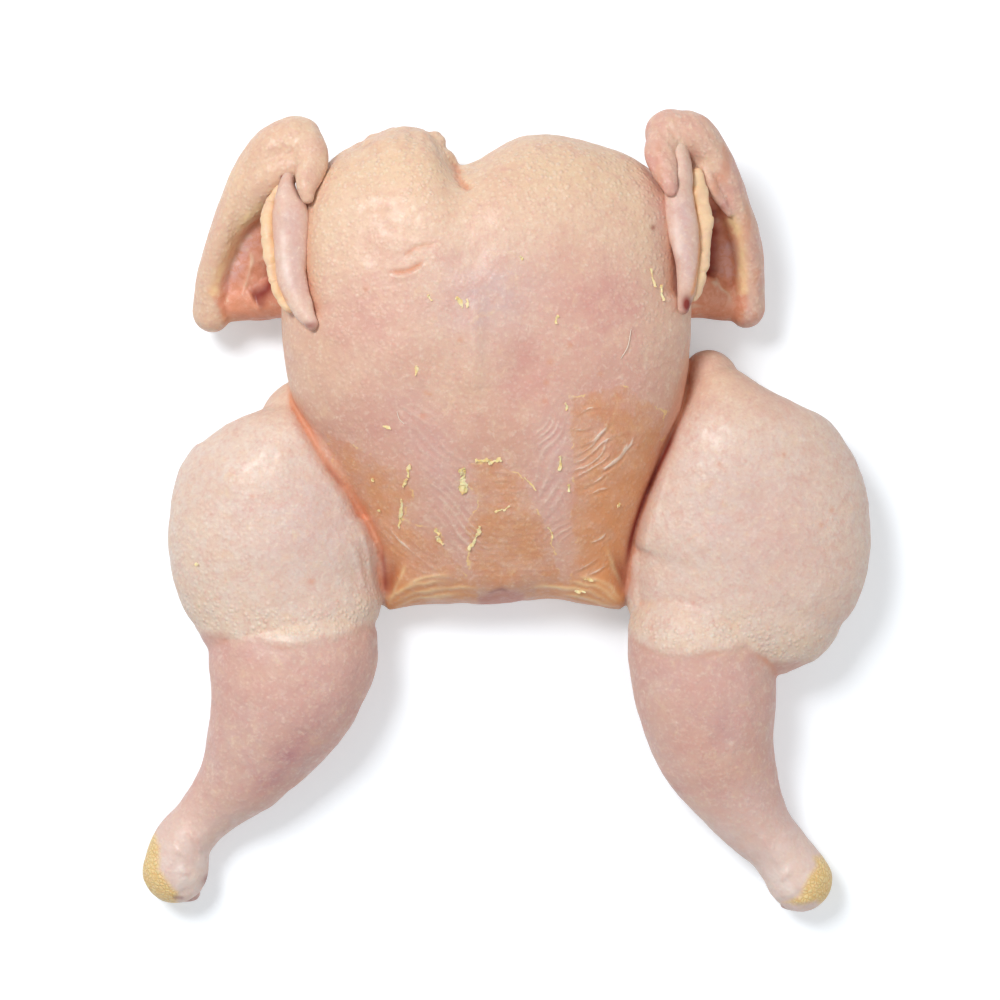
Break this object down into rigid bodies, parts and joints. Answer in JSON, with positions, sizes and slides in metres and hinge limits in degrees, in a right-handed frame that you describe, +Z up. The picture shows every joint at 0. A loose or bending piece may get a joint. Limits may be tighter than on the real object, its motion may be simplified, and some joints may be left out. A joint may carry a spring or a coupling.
{
  "type": "whole raw chicken",
  "caption": "Whole raw plucked chicken lying breast up with folded wings and legs spread flat.",
  "frame": {"origin": "bottom centre of the bird's box, on the surface it lies on", "axes": "+Z up, out of the breast; +Y to the neck end; +X to the right when looking down on the breast with the neck away"},
  "size_m": [0.3236, 0.3545, 0.084],
  "materials": {
    "skin": "moist pale raw skin, softly glossy, pink to cream"
  },
  "bodies": {
    "root": {"chicken": "skin"}
  },
  "joints": []
}
